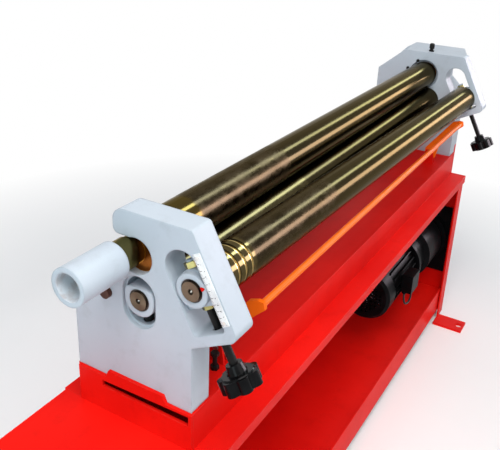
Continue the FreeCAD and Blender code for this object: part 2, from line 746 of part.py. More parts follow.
def adjusting_screws():
    """Screw and star knob of each bending block, in line with the slot."""
    along = Rotation(ALONG_X, SLOT_DOWN)
    for side, x, s in (("near", "-mid_x", "near_block_s"), ("far", "mid_x", "far_block_s")):
        y, z = along_slot(s, "slot_n")
        start = "block_foot + 0.3"
        end = "screw_length + knob_thickness / 2"
        keep(turned(f"adjusting_screw_{side}", [(start, "0"), (start, "screw_diameter / 2"),
                                                (f"{end} - 1", "screw_diameter / 2"),
                                                (end, "screw_diameter / 2 - 1"),
                                                (end, "0")], x=x, y=y, z=z, rotation=along),
             f"adjusting_screw_{side}")
        keep(star_knob(side, x, y, z, along), f"star_knob_{side}")


def star_knob(side, x, y, z, along):
    """Moulded star: round body with lobes and a conical hub towards the frame."""
    face = "screw_length - knob_thickness / 2"
    core = "knob_diameter / 2 - 5"
    bore = "screw_diameter / 2 + push_gap"
    body = turned(f"knob_body_{side}", [
        (f"{face} - hub_length", bore), (f"{face} - hub_length", "hub_diameter / 2 - 1"),
        (face, "hub_diameter / 2 + 2"), (face, f"{core} - 2"), (f"{face} + 3", core),
        (f"{face} + knob_thickness - 3", core), (f"{face} + knob_thickness", f"{core} - 4"),
        (f"{face} + knob_thickness", bore)], x=x, y=y, z=z, rotation=along)
    lobes = []
    count = int(number("knob_lobes"))
    centre = Vector(number(x), number(y), number(z))
    for index in range(count):
        turn = Rotation(ALONG_X, 360.0 * index / count)
        lobe = doc.addObject("Part::Cylinder", f"knob_lobe_{side}_{index}")
        lobe.setExpression("Radius", linked("knob_diameter * 5 / 32"))
        lobe.setExpression("Height", linked("knob_thickness - 4"))
        spot = Vector(number(f"{face} + 2"), 0, number("knob_diameter * 11 / 32"))
        lobe.Placement = Placement(centre + along.multVec(turn.multVec(spot)),
                                   Rotation(UP, along.multVec(ALONG_X)))
        lobes.append(lobe)
    return fuse(f"star_knob_{side}", [body] + lobes)


def angle_scale():
    """Steel scale beside the near slot, with two small screws."""
    item = doc.addObject("Part::Box", "scale_plate")
    item.setExpression("Length", linked("scale_thickness"))
    item.setExpression("Width", linked("scale_length"))
    item.setExpression("Height", linked("scale_width"))
    y, z = along_slot("slot_top_s - 12 - scale_length", "slot_n + slot_radius + 1.5")
    keep(place(item, "-outer_x - scale_thickness", y, z, SLOT_TURN), "angle_scale")
    screws = []
    for index, s in enumerate(("slot_top_s - 18", "slot_top_s - 6 - scale_length")):
        y, z = along_slot(s, "slot_n + slot_radius + 1.5 + scale_width / 2")
        screws.append(rod(f"scale_screw_{index}", "2.5", "1.5", ("-outer_x - scale_thickness - 1.5", y, z),
                          ALONG_X))
    keep(group("scale_screws", screws), "scale_screws")


def latch_bolt():
    shank = rod("latch_shank", "latch_radius", "17", ("-outer_x", "latch_y", "latch_z"), ALONG_X)
    head = rod("latch_head", "latch_radius + 4", "8", ("-outer_x - 8", "latch_y", "latch_z"), ALONG_X)
    keep(fuse("latch_bolt", [shank, head]), "latch_bolt")


def upper_beam():
    """Folded channel under the frames, open below, with holes for the bolts and pinch screws."""
    wall = "beam_wall"
    body = new_body("beam_channel", x="-outer_x")
    sketch = new_sketch(body, "YZ_Plane")
    draw_outline(sketch, [("beam_front_y", "ledge_z"), (f"beam_front_y + {wall}", "ledge_z"),
                          (f"beam_front_y + {wall}", f"base_z - {wall}"),
                          (f"beam_back_y - {wall}", f"base_z - {wall}"),
                          (f"beam_back_y - {wall}", "ledge_z"), ("beam_back_y", "ledge_z"),
                          ("beam_back_y", "base_z"), ("beam_front_y", "base_z")])
    extrude(body, sketch, "2 * outer_x")
    drills = []
    for side, x in (("near", "-mid_x"), ("far", "mid_x")):
        for tag, y in (("front", "front_bolt_y"), ("back", "back_bolt_y"), ("screw", "pinch_y")):
            drills.append(rod(f"beam_{side}_{tag}", "bolt_radius + 1", "20", (x, y, "base_z - 15"), UP))
    keep(cut("upper_beam", body, drills), "upper_beam")


def beam_end_plate():
    """Near end of the beam: a plate with a long tapering window and a raised tab against the frame."""
    front, back = "beam_front_y", "beam_back_y - 5"
    tab = "base_z + tab_rise"
    body = plate("beam_end_plate", [(front, "ledge_z"), (back, "ledge_z"), (back, "base_z"),
                                    ("tab_back_y + 6", "base_z"), ("tab_back_y", tab), ("tab_front_y", tab),
                                    ("tab_front_y - 6", "base_z"), (front, "base_z")],
                 "-outer_x - beam_wall", "beam_wall")
    window = new_sketch(body, "YZ_Plane")
    draw_outline(window, [(f"{front} + beam_wall", "base_z - opening_drop"),
                          ("opening_back_y", "base_z - opening_drop"), ("opening_back_y", "base_z - 10"),
                          (f"{front} + beam_wall", "base_z - 4")])
    cut_out(body, window, "beam_wall")
    keep(body, "beam_end_plate")


def frame_bolts():
    bolts = []
    for side, x in (("near", "-mid_x"), ("far", "mid_x")):
        for tag, y in (("front", "front_bolt_y"), ("back", "back_bolt_y")):
            start = (x, y, "base_z - beam_wall - 10")
            shank = rod(f"bolt_{side}_{tag}_shank", "bolt_radius", "beam_wall + 46", start, UP)
            head = hexagon(f"bolt_{side}_{tag}_head", "24", "10", start, UP)
            bolts.append(fuse(f"bolt_{side}_{tag}", [shank, head]))
    keep(group("frame_bolts", bolts), "frame_bolts")


def cabinet():
    """Sheet steel cabinet, open towards the operator: top, ends, rear wall, tray and floor lugs."""
    near, far, wall = "-stand_half", "stand_half", "sheet"
    top = f"ledge_z - {wall}"
    body = new_body("cabinet_top", x=near)
    sketch = new_sketch(body, "YZ_Plane")
    draw_outline(sketch, [("ledge_front_y", "ledge_z - 22"), (f"ledge_front_y + {wall}", "ledge_z - 22"),
                          (f"ledge_front_y + {wall}", top), ("ledge_back_y", top),
                          ("ledge_back_y", "ledge_z"),
                          ("ledge_front_y", "ledge_z")])
    extrude(body, sketch, f"{far} - ({near})")
    keep(body, "cabinet_top")
    for side, x, inward in (("near", near, 1), ("far", f"{far} - {wall}", -1)):
        panel = new_body(f"{side}_end_panel_sheet", x=x, z="lug_thickness")
        outline = new_sketch(panel, "XY_Plane")
        reach = "post_width" if inward > 0 else f"{wall} - post_width"
        skin = wall if inward > 0 else "0"
        out = "0" if inward > 0 else wall
        front, rear = f"ledge_front_y + {wall} + 0.5", f"ledge_back_y - {wall}"
        draw_outline(outline, [(out, front), (reach, front), (reach, f"{front} + {wall}"),
                               (skin, f"{front} + {wall}"), (skin, rear), (out, rear)])
        extrude(panel, outline, f"{top} - lug_thickness")
        if side == "far":
            opening = rod("gearbox_opening", "flange_diameter / 2 - 30", "3 * sheet",
                          (f"{x} - sheet", "drive_y", "drive_z"), ALONG_X)
            panel = cut("far_end_panel_cut", panel, [opening])
        keep(panel, f"{side}_end_panel")
    keep(block("rear_panel", (near, f"ledge_back_y - {wall}", "lug_thickness"), (far, "ledge_back_y", top)),
         "rear_panel")
    tray = new_body("floor_tray", x=f"{near} + {wall} + 0.5")
    sketch = new_sketch(tray, "YZ_Plane")
    front = f"ledge_front_y + 3 * {wall}"
    draw_outline(sketch, [(front, "skirt_z"), (f"{front} + {wall}", "skirt_z"),
                          (f"{front} + {wall}", f"tray_z - {wall}"),
                          (f"ledge_back_y - {wall}", f"tray_z - {wall}"),
                          (f"ledge_back_y - {wall}", "tray_z"),
                          (f"{front} + {wall}", "tray_z"), (f"{front} + {wall}", "tray_z + tray_lip"),
                          (front, "tray_z + tray_lip")])
    extrude(tray, sketch, f"{far} - ({near}) - 2 * {wall} - 1")
    keep(tray, "floor_tray")


def near_shelf():
    """Folded shelf bolted to the near end of the cabinet, level with its top."""
    wall = "sheet"
    body = new_body("near_shelf", x="shelf_end_x")
    sketch = new_sketch(body, "YZ_Plane")
    back = f"ledge_back_y - {wall}"
    low = "ledge_z - shelf_flange"
    draw_outline(sketch, [("ledge_front_y", low), (f"ledge_front_y + {wall}", low),
                          (f"ledge_front_y + {wall}", f"ledge_z - {wall}"),
                          (f"{back} - {wall}", f"ledge_z - {wall}"),
                          (f"{back} - {wall}", low), (back, low), (back, "ledge_z"),
                          ("ledge_front_y", "ledge_z")])
    extrude(body, sketch, "-stand_half - shelf_end_x")
    keep(body, "near_shelf")


def floor_lugs():
    """Flat bars under the four corners, with the holes of the anchor bolts."""
    lugs = []
    for tag, x in (("near", "-anchor_x"), ("far", "anchor_x")):
        for side, y, start, end in (("front", "-anchor_y", "-anchor_y - 15", "ledge_front_y + 8"),
                                    ("back", "anchor_y", "ledge_back_y - 8", "anchor_y + 15")):
            bar = block(f"lug_{tag}_{side}_bar", (f"{x} - lug_width / 2", start, "0"),
                        (f"{x} + lug_width / 2", end, "lug_thickness"))
            drill = rod(f"lug_{tag}_{side}_drill", "lug_hole / 2", "20", (x, y, "-5"), UP)
            lugs.append(cut(f"lug_{tag}_{side}", bar, [drill]))
    keep(group("floor_lugs", lugs), "floor_lugs")


def trip_bar():
    """Round rod in front of the rolls, its two arm plates, their brackets and pivot pins."""
    keep(rod("trip_rod", "bar_diameter / 2", "2 * arm_x", ("-arm_x", "bar_y", "bar_z"), ALONG_X), "trip_rod")
    for side, x in (("near", "-arm_x - arm_thickness"), ("far", "arm_x")):
        outline = [("bar_y - 9", "bar_z - 4"), ("bar_y + 6", "bar_z - 18"), ("pivot_y - 28", "pivot_z + 42"),
                   ("pivot_y - 16", "pivot_z - 12"), ("pivot_y + 14", "pivot_z - 12"),
                   ("pivot_y + 14", "pivot_z + 14"),
                   ("bar_y + 21", "bar_z + 3"), ("bar_y + 4", "bar_z + 9"), ("bar_y - 6", "bar_z + 8")]
        arm = plate(f"trip_arm_{side}", outline, x, "arm_thickness",
                    [(("pivot_y", "pivot_z"), "pin_diameter / 2 + running_gap")])
        keep(arm, f"trip_arm_{side}")
    ears, pins = [], []
    for side, x in (("near", "-arm_x - arm_thickness / 2"), ("far", "arm_x + arm_thickness / 2")):
        for tag, shift in (("in", "-arm_thickness / 2 - ear_gap - ear_thickness"),
                           ("out", "arm_thickness / 2 + ear_gap")):
            ears.append(plate(f"ear_{side}_{tag}", [("pivot_y - 16", "base_z"), ("pivot_y + 16", "base_z"),
                                                   ("pivot_y + 10", "pivot_z + 10"),
                                                   ("pivot_y - 10", "pivot_z + 10")],
                              f"{x} + {shift}", "ear_thickness",
                              [(("pivot_y", "pivot_z"), "pin_diameter / 2 + push_gap")]))
        reach = "arm_thickness / 2 + ear_gap + ear_thickness + 3"
        pins.append(rod(f"pin_{side}", "pin_diameter / 2", f"2 * ({reach})",
                        (f"{x} - ({reach})", "pivot_y", "pivot_z"),
                        ALONG_X))
    keep(group("trip_brackets", ears), "trip_brackets")
    keep(group("trip_pins", pins), "trip_pins")
    x, y = "-arm_x - 28", "pivot_y - 8"
    bolt = rod("stop_shank", "4", "stop_height", (x, y, "base_z"), UP)
    nut = hexagon("stop_nut", "13", "7", (x, y, "base_z"), UP)
    cap = hexagon("stop_head", "13", "6", (x, y, "base_z + stop_height"), UP)
    keep(fuse("stop_bolt", [bolt, nut, cap]), "stop_bolt")


def motor():
    """Flange motor: finned housing, fan, fan cover with a vent grid."""
    start = "motor_start_x + fan_length"
    radius = "motor_diameter / 2"
    barrel = "motor_length - fan_length"
    core = f"{radius} - fin_height"
    bore = "rotor_shaft / 2 + running_gap"
    rim = f"{radius} - 2.2"
    housing = turned("motor_barrel", [("-9", bore), ("-9", rim), ("3", rim), ("3", core), (barrel, core),
                                      (barrel, "0"),
                                      ("30", "0"), ("30", bore)], x=start, y="drive_y", z="drive_z")
    fins = []
    count = int(number("fin_count"))
    for index in range(count):
        fin = doc.addObject("Part::Box", f"fin_{index}")
        fin.setExpression("Length", linked(f"{barrel} - 20"))
        fin.setExpression("Width", linked("fin_thickness"))
        fin.setExpression("Height", linked("fin_height + 2"))
        turn = Rotation(ALONG_X, 360.0 * index / count)
        spot = Vector(number(start) + 10, number("drive_y"), number("drive_z"))
        spot += turn.multVec(Vector(0, number("-fin_thickness / 2"), number(f"{core} - 2")))
        fin.Placement = Placement(spot, turn)
        fins.append(fin)
    keep(fuse("motor_housing", [housing] + fins), "motor_housing")
    depth = "fan_length - 0.5"
    cover = turned("fan_cover_bowl", [("0", "0"), ("0", f"{radius} - 8"), ("8", radius), (depth, radius),
                                      (depth, f"{radius} - 2"), ("9", f"{radius} - 2"),
                                      ("2", f"{radius} - 9"),
                                      ("2", "0")], x="motor_start_x", y="drive_y", z="drive_z")
    vents = []
    for across in range(-4, 5):
        for upward in range(-4, 5):
            if across * across + upward * upward < 18:
                vents.append(rod(f"vent_{across + 4}_{upward + 4}", "vent_diameter / 2", "8",
                                 ("motor_start_x - 3", f"drive_y + {across} * vent_pitch",
                                  f"drive_z + {upward} * vent_pitch"), ALONG_X))
    keep(cut("fan_cover", cover, vents), "fan_cover")
    hub = rod("fan_hub", "12", "24", ("motor_start_x + 16", "drive_y", "drive_z"), ALONG_X)
    shaft = rod("rotor_shaft_bar", "rotor_shaft / 2", "fan_length + 10",
                ("motor_start_x + 18", "drive_y", "drive_z"),
                ALONG_X)
    blades = []
    count = int(number("blade_count"))
    for index in range(count):
        blade = doc.addObject("Part::Box", f"blade_{index}")
        blade.setExpression("Length", linked("blade_width"))
        blade.setExpression("Width", linked("blade_thickness"))
        blade.setExpression("Height", linked("blade_length"))
        turn = Rotation(ALONG_X, 360.0 * index / count)
        spot = Vector(number("motor_start_x + 18"), number("drive_y"), number("drive_z"))
        blade.Placement = Placement(spot + turn.multVec(Vector(0, number("-blade_thickness / 2"), 10)), turn)
        blades.append(blade)
    keep(fuse("motor_fan", [hub, shaft] + blades), "motor_fan")


def terminal_box():
    """Terminal box on the motor's side, and the cable that loops between the two glands under it."""
    near, far = "motor_start_x + box_start", "motor_start_x + box_start + box_length"
    back = "drive_y - motor_diameter / 2"
    front, low, high = f"{back} - box_depth", "drive_z - 10", "drive_z - 10 + box_height"
    keep(block("terminal_box", (near, front, low), (far, back, high)), "terminal_box")
    keep(block("terminal_lid", (near, f"{front} - lid_thickness", low), (far, front, high)), "terminal_lid")
    glands, ends = [], []
    foot = f"{low} - gland_height"
    for tag, x, y in (("near", f"{near} + 12", f"{front} + 17"), ("far", f"{far} - 10", f"{front} + 8")):
        glands.append(rod(f"gland_{tag}", "gland_diameter / 2", "gland_height", (x, y, foot), UP))
        ends.append(Vector(number(x), number(y), number(foot)))
    keep(group("cable_glands", glands), "cable_glands")
    down = DOWN * number("cable_drop")
    keep(cord("motor_cable", [ends[0], ends[0] + down, ends[1] + down, ends[1]], "cable_diameter"),
         "motor_cable")


def cord(name, route, diameter):
    """A round cord of straight runs and tangent arcs through the corners of its route."""
    pieces, start = [], route[0]
    for before, corner, after in zip(route, route[1:], route[2:]):
        back, ahead = (before - corner).normalize(), (after - corner).normalize()
        half_turn = (math.pi - back.getAngle(ahead)) / 2
        setback = 0.45 * min((before - corner).Length, (after - corner).Length)
        radius = setback / math.tan(half_turn)
        entry, leave = corner + back * setback, corner + ahead * setback
        inward = (back + ahead).normalize()
        middle = corner + inward * (radius / math.cos(half_turn) - radius)
        pieces += [Part.LineSegment(start, entry).toShape(), Part.Arc(entry, middle, leave).toShape()]
        start = leave
        print(name, "bend radius", round(radius, 1))
    pieces.append(Part.LineSegment(start, route[-1]).toShape())
    path = Part.Wire(pieces)
    ring = Part.Wire(Part.Circle(route[0], route[1] - route[0], number(diameter) / 2).toShape())
    item = doc.addObject("Part::Feature", name)
    item.Shape = path.makePipeShell([ring], True, True)
    section = math.pi * number(diameter) ** 2 / 4
    print(name, "length", round(path.Length, 1), "volume share",
          round(item.Shape.Volume / (section * path.Length), 3))
    return item


def gearbox():
    """In-line reduction gearbox on a square plate inside the end panel, and its output shaft."""
    start = "motor_start_x + motor_length"
    face = "stand_half - sheet - mount_thickness"
    length = f"{face} - ({start})"
    radius = "motor_diameter / 2"
    bore = "shaft_diameter / 2 + running_gap"
    keep(turned("gearbox", [("0", "0"), ("0", f"{radius} + 8"), ("14", f"{radius} + 8"),
                            ("20", f"{radius} - 6"),
                            ("70", f"{radius} - 2"), ("78", f"{radius} + 14"),
                            (f"{length} - 34", f"{radius} + 14"),
                            (f"{length} - 24", f"{radius} - 4"), (f"{length} - 16", f"{radius} - 4"),
                            (f"{length} - 16", "flange_diameter / 2"), (length, "flange_diameter / 2"),
                            (length, bore), (f"{length} - 60", bore), (f"{length} - 60", "0")],
                x=start, y="drive_y", z="drive_z"), "gearbox")
    wide, tall = "mount_width / 2", "mount_height / 2"
    keep(plate("gearbox_plate", [(f"drive_y - {wide}", f"drive_z - {tall}"),
                                 (f"drive_y + {wide}", f"drive_z - {tall}"),
                                 (f"drive_y + {wide}", f"drive_z + {tall}"),
                                 (f"drive_y - {wide}", f"drive_z + {tall}")],
               face, "mount_thickness", [(("drive_y", "drive_z"), "flange_diameter / 2 - 30")]),
         "gearbox_plate")
    shoulder = f"sprocket_x - ({face}) + 58"
    tip = f"{shoulder} + sprocket_width + 12"
    keep(turned("output_shaft", [("0", "0"), ("0", "shaft_diameter / 2"), (shoulder, "shaft_diameter / 2"),
                                 (shoulder, "wheel_bore / 2"), (tip, "wheel_bore / 2"), (tip, "0")],
                x=f"{face} - 58", y="drive_y", z="drive_z"), "output_shaft")


def toothed(name, y, z, phase, bore):
    """A gear blank at gear_x with straight-sided teeth, the first of them turned by phase from the top."""
    body = turned(f"{name}_blank", [("0", bore), ("0", "gear_root"), ("gear_width", "gear_root"),
                                    ("gear_width", bore)],
                  x="gear_x", y=y, z=z)
    count = int(number("gear_teeth"))
    centre = Vector(number("gear_x"), number(y), number(z))
    base, tip, half = number("gear_root") - 1.5, number("gear_tip"), number("gear_tooth") / 2
    outline = [Vector(0, -half * 1.25, base), Vector(0, half * 1.25, base), Vector(0, half * 0.55, tip),
               Vector(0, -half * 0.55, tip), Vector(0, -half * 1.25, base)]
    cogs = []
    for index in range(count):
        cog = doc.addObject("Part::Feature", f"{name}_cog_{index}")
        cog.Shape = Part.Face(Part.makePolygon(outline)).extrude(Vector(number("gear_width"), 0, 0))
        cog.Placement = Placement(centre, Rotation(ALONG_X, 360.0 * index / count + phase))
        cogs.append(cog)
    return [body] + cogs


def drive_wheels():
    """Equal gears of the pinch and top rolls, in mesh, and the two chain sprockets."""
    towards_top = math.degrees(math.atan2(number("pinch_y"), number("pinch_drop")))
    half_tooth = 180 / number("gear_teeth")
    keep(fuse("pinch_gear", toothed("pinch_gear", "pinch_y", "pinch_z", towards_top,
                                    "wheel_bore / 2 + push_gap")),
         "pinch_gear")
    stub = turned("top_gear_stub", [("0", "0"), ("0", "gear_root - 2"), ("8", "gear_root - 2"),
                                    ("8", "wheel_bore / 2"),
                                    ("outer_x + cover_depth - gear_x - gear_width", "wheel_bore / 2"),
                                    ("outer_x + cover_depth - gear_x - gear_width", "0")],
                  x="gear_x + gear_width", z="axis_height")
    wheel = fuse("top_gear_wheel",
                 toothed("top_gear", "0", "axis_height", towards_top + 180 + half_tooth, "0") + [stub])
    wide, tall = "tang_thickness / 2 + tang_play", "tang_width / 2 + tang_play"
    socket = block("top_gear_socket", ("gear_x - 1", f"-({wide})", f"axis_height - ({tall})"),
                   ("gear_x + gear_width - 1", wide, f"axis_height + {tall}"))
    keep(cut("top_gear", wheel, [socket]), "top_gear")
    for name, y, z in (("pinch_sprocket", "pinch_y", "pinch_z"), ("drive_sprocket", "drive_y", "drive_z")):
        bore, root = "wheel_bore / 2 + push_gap", "sprocket_radius - 8"
        keep(turned(name, [("0", bore), ("0", root), ("3", "sprocket_radius"),
                           ("sprocket_width - 3", "sprocket_radius"),
                           ("sprocket_width", root), ("sprocket_width", bore)], x="sprocket_x", y=y, z=z),
             name)


def gear_cover():
    """Cover of the wheels behind the far frame, with a wider roof that is flush with the frame's top."""
    wall = "cover_wall"
    outer = [("cover_back_y", "frame_top"), ("far_back_y - 8", "axis_height"),
             ("far_back_y - 8", "base_z + 90"),
             ("cover_back_y", "base_z"), ("drive_y - 57", "base_z"), ("drive_y - 57", "pinch_z - 40"),
             ("drive_y - 37", "pinch_z + 10"), ("drive_y - 37", "pinch_z + 32"),
             ("drive_y - 12", "pinch_z + 55"),
             ("drive_y - 12", "frame_top")]
    inward = [(-1, -1), (-1, -0.5), (-1, 0.5), (-1, 1), (1, 1),
              (1, -0.3), (1, -0.3), (1, -0.7), (1, -0.7), (1, -1)]
    shell = new_body("gear_cover_shell", x="outer_x")
    sketch = new_sketch(shell, "YZ_Plane")
    draw_outline(sketch, outer)
    extrude(shell, sketch, "cover_depth")
    hollow = new_sketch(shell, "YZ_Plane")
    draw_outline(hollow, [(f"{y} + {wall} * ({across})", f"{z} + {wall} * ({upward})")
                          for (y, z), (across, upward) in zip(outer, inward)])
    cut_out(shell, hollow, f"cover_depth - {wall}")
    roofs = []
    for tag, back, near, depth in (("roof", "cover_back_y", "cover_back_y", wall),
                                   ("lip", f"cover_front_y + {wall}", f"cover_end_y + {wall}", "cover_lip")):
        roof = new_body(f"gear_cover_{tag}", z=f"frame_top - {depth}")
        sketch = new_sketch(roof, "XY_Plane")
        draw_outline(sketch, [("outer_x", "cover_front_y"), ("outer_x + cover_depth", "cover_end_y"),
                              ("outer_x + cover_depth", near), ("outer_x", back)])
        extrude(roof, sketch, depth)
        roofs.append(roof)
    chain_way = block("chain_way", ("outer_x + 20", f"drive_y - 57 + {wall}", "base_z - 1"),
                      (f"outer_x + cover_depth - {wall}", f"drive_y + 85 - {wall}", f"base_z + {wall} + 1"))
    stub_bore = rod("stub_bore", "wheel_bore / 2 + running_gap", f"{wall} + 2",
                    (f"outer_x + cover_depth - {wall} - 1", "0", "axis_height"), ALONG_X)
    keep(cut("gear_cover", fuse("gear_cover_raw", [shell] + roofs), [chain_way, stub_bore]), "gear_cover")


def chain_guard():
    """Box of the chain below the gear cover, open towards the end panel."""
    wall, end = "cover_wall", "outer_x + cover_depth"
    front, back, foot = "drive_y - 57", "drive_y + 85", "guard_foot_z"
    guard = block("chain_guard_box", ("stand_half", front, foot), (end, back, "base_z"))
    inside = block("chain_guard_inside", ("stand_half - 1", f"{front} + {wall}", f"{foot} + {wall}"),
                   (f"{end} - {wall}", f"{back} - {wall}", "base_z + 1"))
    keep(cut("chain_guard", guard, [inside]), "chain_guard")


def bush_fittings():
    """Two screw heads on the far frame's inner face, and the oil cup above the top roll's bush."""
    fittings = []
    for tag, y, z in (("upper", "22", "axis_height + 38"), ("side", "50", "axis_height + 12")):
        fittings.append(rod(f"bush_bolt_{tag}", "4.5", "3", ("inner_x - 3", y, z), ALONG_X))
    profile = [("-8", "0"), ("-8", "cup_spigot"), ("0", "cup_spigot"), ("0", "cup_radius"), ("4", "cup_radius"),
               ("5", "cup_radius - 2"), ("8", "cup_radius - 2"), ("9", "cup_radius"),
               ("cup_height - 3", "cup_radius"), ("cup_height", "cup_radius - 3"), ("cup_height", "0")]
    fittings.append(turned("oil_cup", profile, x="mid_x", y="cup_y", z="frame_top",
                           rotation=Rotation(ALONG_X, UP)))
    keep(group("bush_fittings", fittings), "bush_fittings")


near_end_frame()
far_end_frame()
seat_saddle()
top_roll()
top_roll_bush()
pinch_roll()
pinch_blocks()
pinch_screws()
bending_roll()
bending_blocks()
adjusting_screws()
angle_scale()
latch_bolt()
upper_beam()
beam_end_plate()
frame_bolts()
cabinet()
near_shelf()
floor_lugs()
trip_bar()
motor()
terminal_box()
gearbox()
drive_wheels()
gear_cover()
chain_guard()
bush_fittings()

doc.recompute()
for item in doc.Objects:
    if "Invalid" in item.State or "Error" in item.State:
        raise RuntimeError(f"{item.Label}: {item.State}")
for item in nodes:
    if item.Shape.isNull() or not item.Shape.isValid() or item.Shape.Volume <= 0:
        raise RuntimeError(f"{item.Label}: no valid shape")
os.makedirs("parts", exist_ok=True)
for item in nodes:
    item.Shape.exportStep(f"parts/{item.Label}.step")
print(len(nodes), "nodes")
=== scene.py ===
"""Looks of the motor-driven three-roll sheet bending machine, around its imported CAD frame.

Metres, in the part's own frame: +X along the rolls to the drive end, -Y the operator's side, Z up.
"""
import json
import math
import bmesh
import bpy
from mathutils import Matrix, Vector


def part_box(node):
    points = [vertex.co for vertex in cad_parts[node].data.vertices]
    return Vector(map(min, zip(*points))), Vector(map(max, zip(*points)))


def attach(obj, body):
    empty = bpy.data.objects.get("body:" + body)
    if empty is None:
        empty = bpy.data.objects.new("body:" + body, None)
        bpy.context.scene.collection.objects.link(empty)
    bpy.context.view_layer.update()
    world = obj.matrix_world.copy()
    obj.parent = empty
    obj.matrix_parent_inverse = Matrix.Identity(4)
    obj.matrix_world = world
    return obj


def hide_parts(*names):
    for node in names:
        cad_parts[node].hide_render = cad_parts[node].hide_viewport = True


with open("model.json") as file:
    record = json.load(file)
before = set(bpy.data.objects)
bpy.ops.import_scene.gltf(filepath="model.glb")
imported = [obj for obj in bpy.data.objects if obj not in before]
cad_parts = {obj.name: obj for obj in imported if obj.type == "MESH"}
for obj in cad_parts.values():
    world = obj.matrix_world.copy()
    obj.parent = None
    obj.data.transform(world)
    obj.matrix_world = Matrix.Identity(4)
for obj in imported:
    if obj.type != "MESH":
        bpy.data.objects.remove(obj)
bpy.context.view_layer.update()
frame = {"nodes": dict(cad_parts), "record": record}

# ---------------------------------------------------------------- places on the machine, as in part.py
AXIS_HEIGHT = 0.805
TOP_AXIS = (0, AXIS_HEIGHT)            # y and z of the top roll
PINCH_AXIS = (-0.018, 0.730)           # y and z of the pinch roll
NEAR_AXIS = (-0.1116, 0.7783)          # y and z of the bending roll's near end
GROOVES = (-0.624, -0.606, -0.588)     # x of the bending roll's wire grooves
GROOVE_EDGE = (0.0026, 0.0036)         # half width of a groove, inside and outside its soft edge
ROLL_SPAN = (-0.75, 0.75)              # x range of the rolls' zones
END_FACE = (-0.694, -0.692)            # x up to which a near end has its end-face finish, and its soft edge
# radii of the painted shade of the centre hole and of the painted highlight at its middle
CENTRE_HOLE, HOLE_GLINT_RADIUS = 0.0042, 0.0016  # radii in the turned near ends
LATHE_RINGS = 4200.0                   # radians of ring to a metre of radius, so one ring is 1.5 mm
TUBE_BORE = 0.0213                     # radius inside the handle tube, with a little to spare
SLOT_SLOPE = math.radians(62)          # of the slots and the scale, from +Y upwards
# the scale: pitch and width of its marks and their reach across the slot, and the reach of its figures
LONG_MARKS, SHORT_MARKS = (0.010, 0.0007, 0.1160, 0.1210), (0.002, 0.0004, 0.1160, 0.1185)
FIGURES = (0.1225, 0.1255)
CABLE_ROUTE = ((0.328, -0.123, 0.254), (0.326, -0.1245, 0.2125), (0.3675, -0.135, 0.2125),
               (0.364, -0.132, 0.254))
CABLE_DIAMETER = 0.0055

# ---------------------------------------------------------------- colours
RED, RED_SHADE = (0.80, 0.010, 0.006), (0.68, 0.006, 0.004)
GREY, GREY_SHADE = (0.49, 0.54, 0.60), (0.44, 0.49, 0.55)
ORANGE, ORANGE_SHADE = (1.0, 0.17, 0.008), (0.90, 0.13, 0.006)
OLIVE = (0.031, 0.025, 0.015)          # burnished barrel of a roll
SCUFFED = (0.034, 0.027, 0.018)        # where sheet has run
GOLD = (0.080, 0.062, 0.029)           # round the wire grooves
# bright colour in the wire grooves: a painted highlight
GROOVE_PAINTED_HIGHLIGHT = (0.50, 0.38, 0.17)
JOURNAL = (0.12, 0.088, 0.064)
# painted shade of the centre hole in a near end, and a painted highlight at its middle
HOLE_PAINTED_SHADE, HOLE_PAINTED_HIGHLIGHT = (0.02, 0.016, 0.012), (0.70, 0.68, 0.64)
OILED_GLOSS = (0.66, 0.61, 0.52)       # what a roll's gloss turns to at its rim
# the lighter grey in the handle tube's bore is painted light against the shade in it; the rust is real
RUST, TUBE_INSIDE_PAINTED_LIGHT = (0.22, 0.105, 0.060), (0.66, 0.71, 0.77)
INK = (0.16, 0.16, 0.17)
WHITE = (1, 1, 1)
DAYLIGHT, DAYLIGHT_STRENGTH = (0.86, 0.92, 1.0), 0.42
LAMP_WHITE = (1.0, 0.985, 0.955)

# ---------------------------------------------------------------- view
CAMERA_AT = Vector((-1.3588, -0.5836, 1.2848))
YAW, PITCH, TILT = math.radians(30.183), math.radians(22.590), math.radians(-2.292)
FOCAL_PX, PICTURE_WIDTH = 688.97, 500  # focal length in pixels of a picture that wide
SENSOR = 36.0
SHIFT_Y = -0.09


def make_camera():
    """The photograph's camera: yaw from +X to +Y, pitch downwards, and a small tilt about the view."""
    data = bpy.data.cameras.new("view_camera")
    camera = bpy.data.objects.new("view_camera", data)
    bpy.context.collection.objects.link(camera)
    ahead = Vector((math.cos(YAW) * math.cos(PITCH), math.sin(YAW) * math.cos(PITCH), -math.sin(PITCH)))
    right = Vector((math.sin(YAW), -math.cos(YAW), 0))
    down = ahead.cross(right)
    right_tilted = right * math.cos(TILT) + down * math.sin(TILT)
    down_tilted = down * math.cos(TILT) - right * math.sin(TILT)
    turn = Matrix((right_tilted, -down_tilted, -ahead)).transposed()
    camera.matrix_world = Matrix.Translation(CAMERA_AT) @ turn.to_4x4()
    data.sensor_width = SENSOR
    data.sensor_fit = "HORIZONTAL"
    data.lens = FOCAL_PX * SENSOR / PICTURE_WIDTH
    data.shift_y = SHIFT_Y
    data.clip_start = 0.05
    data.clip_end = 50
    bpy.context.scene.camera = camera


